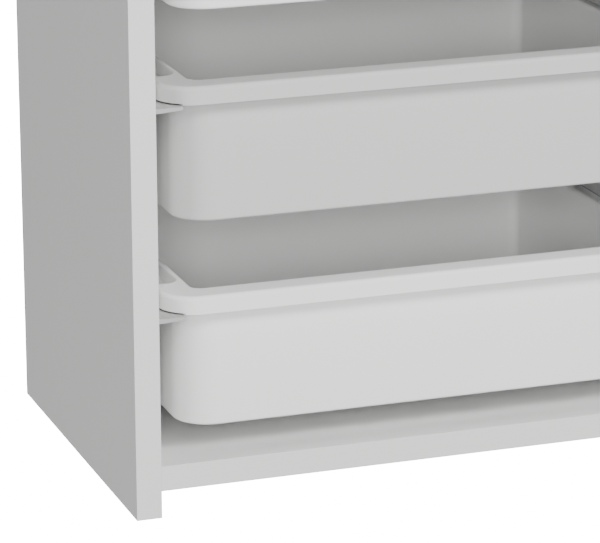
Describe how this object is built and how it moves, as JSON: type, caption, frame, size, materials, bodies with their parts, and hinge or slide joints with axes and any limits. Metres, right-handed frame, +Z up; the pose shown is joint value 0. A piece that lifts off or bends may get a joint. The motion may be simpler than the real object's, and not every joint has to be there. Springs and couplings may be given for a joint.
{
  "type": "chest with slide-out storage bins",
  "caption": "Narrow upright open chest in white board with shallow moulded bins that hang by their rims on side ledges and slide out to the front.",
  "frame": {"origin": "on the floor, below the middle of the chest", "axes": "+X to the right when facing the chest, +Y from its front to its back, +Z up"},
  "size_m": [0.456, 0.3, 0.94],
  "materials": {
    "coated_board": "white foil",
    "hardboard": "white paint",
    "edge_band": "white satin",
    "runner_plastic": "satin",
    "bin_plastic": "satin",
    "grey_bin_plastic": "satin",
    "plated_steel": "zinc plated",
    "cast_zinc": "as cast",
    "beech_dowel": "raw"
  },
  "bodies": {
    "carcass": {"side_panel_left": "coated_board", "side_panel_right": "coated_board", "top_panel": "coated_board", "bottom_shelf": "coated_board", "back_panel": "hardboard", "front_band_left": "edge_band", "front_band_right": "edge_band", "front_band_top_panel": "edge_band", "front_band_bottom_shelf": "edge_band", "runner_left_1": "runner_plastic", "runner_right_1": "runner_plastic", "runner_left_2": "runner_plastic", "runner_right_2": "runner_plastic", "runner_left_3": "runner_plastic", "runner_right_3": "runner_plastic", "runner_left_4": "runner_plastic", "runner_right_4": "runner_plastic", "runner_left_5": "runner_plastic", "runner_right_5": "runner_plastic", "runner_left_6": "runner_plastic", "runner_right_6": "runner_plastic", "cam_bolt_1": "plated_steel", "cam_bolt_2": "plated_steel", "cam_bolt_3": "plated_steel", "cam_bolt_4": "plated_steel", "cam_bolt_5": "plated_steel", "cam_bolt_6": "plated_steel", "cam_bolt_7": "plated_steel", "cam_bolt_8": "plated_steel", "cam_lock_1": "cast_zinc", "cam_lock_2": "cast_zinc", "cam_lock_3": "cast_zinc", "cam_lock_4": "cast_zinc", "cam_lock_5": "cast_zinc", "cam_lock_6": "cast_zinc", "cam_lock_7": "cast_zinc", "cam_lock_8": "cast_zinc", "dowel_1": "beech_dowel", "dowel_2": "beech_dowel", "dowel_3": "beech_dowel", "dowel_4": "beech_dowel", "dowel_5": "beech_dowel", "dowel_6": "beech_dowel", "dowel_7": "beech_dowel", "dowel_8": "beech_dowel", "runner_screws_left": "plated_steel", "runner_screws_right": "plated_steel", "back_panel_nails": "plated_steel"},
    "bin_1": {"bin_1": "bin_plastic"},
    "bin_2": {"bin_2": "grey_bin_plastic"},
    "bin_3": {"bin_3": "bin_plastic"},
    "bin_4": {"bin_4": "grey_bin_plastic"},
    "bin_5": {"bin_5": "bin_plastic"},
    "bin_6": {"bin_6": "grey_bin_plastic"}
  },
  "joints": [
    {"name": "bin_1_slide", "type": "slide", "parent": "carcass", "child": "bin_1", "axis": [0, -1, 0], "range_m": [0, 0.14]},
    {"name": "bin_2_slide", "type": "slide", "parent": "carcass", "child": "bin_2", "axis": [0, -1, 0], "range_m": [0, 0.14]},
    {"name": "bin_3_slide", "type": "slide", "parent": "carcass", "child": "bin_3", "axis": [0, -1, 0], "range_m": [0, 0.14]},
    {"name": "bin_4_slide", "type": "slide", "parent": "carcass", "child": "bin_4", "axis": [0, -1, 0], "range_m": [0, 0.14]},
    {"name": "bin_5_slide", "type": "slide", "parent": "carcass", "child": "bin_5", "axis": [0, -1, 0], "range_m": [0, 0.14]},
    {"name": "bin_6_slide", "type": "slide", "parent": "carcass", "child": "bin_6", "axis": [0, -1, 0], "range_m": [0, 0.14]}
  ]
}
